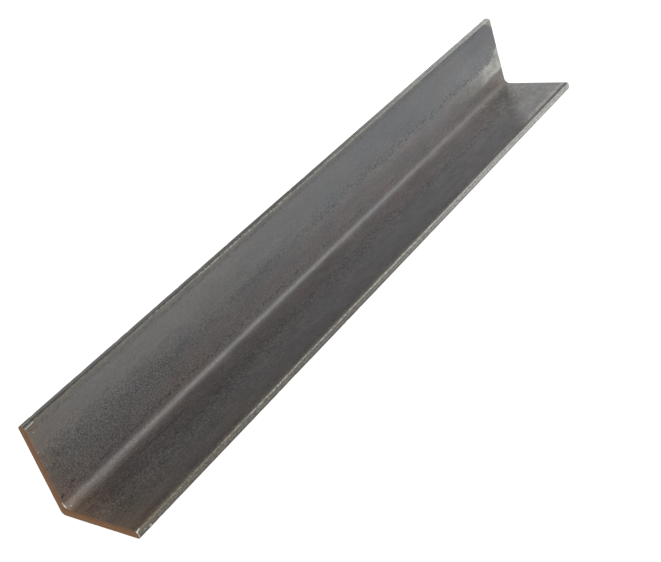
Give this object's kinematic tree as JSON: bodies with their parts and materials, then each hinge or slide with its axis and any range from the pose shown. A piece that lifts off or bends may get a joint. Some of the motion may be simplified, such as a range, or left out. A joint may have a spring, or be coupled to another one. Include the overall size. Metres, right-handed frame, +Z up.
{
  "type": "metal angle section",
  "caption": "Equal-leg steel angle stock: an L section with a filleted root and rounded toes, square cut, with dark mill scale and rusty sawn ends.",
  "frame": {"origin": "on the floor under the flat leg's outer face, halfway across that leg and halfway along the bar", "axes": "+X from heel to toe along the flat leg, +Y along the bar, +Z up the upright leg from heel to toe"},
  "size_m": [0.06, 0.5, 0.06],
  "materials": {
    "mill_scale_steel": "hot-rolled mild steel with satin dark grey mill scale, worn toes and light brown rust on the sawn ends"
  },
  "bodies": {
    "root": {"angle_section": "mill_scale_steel"}
  },
  "joints": []
}
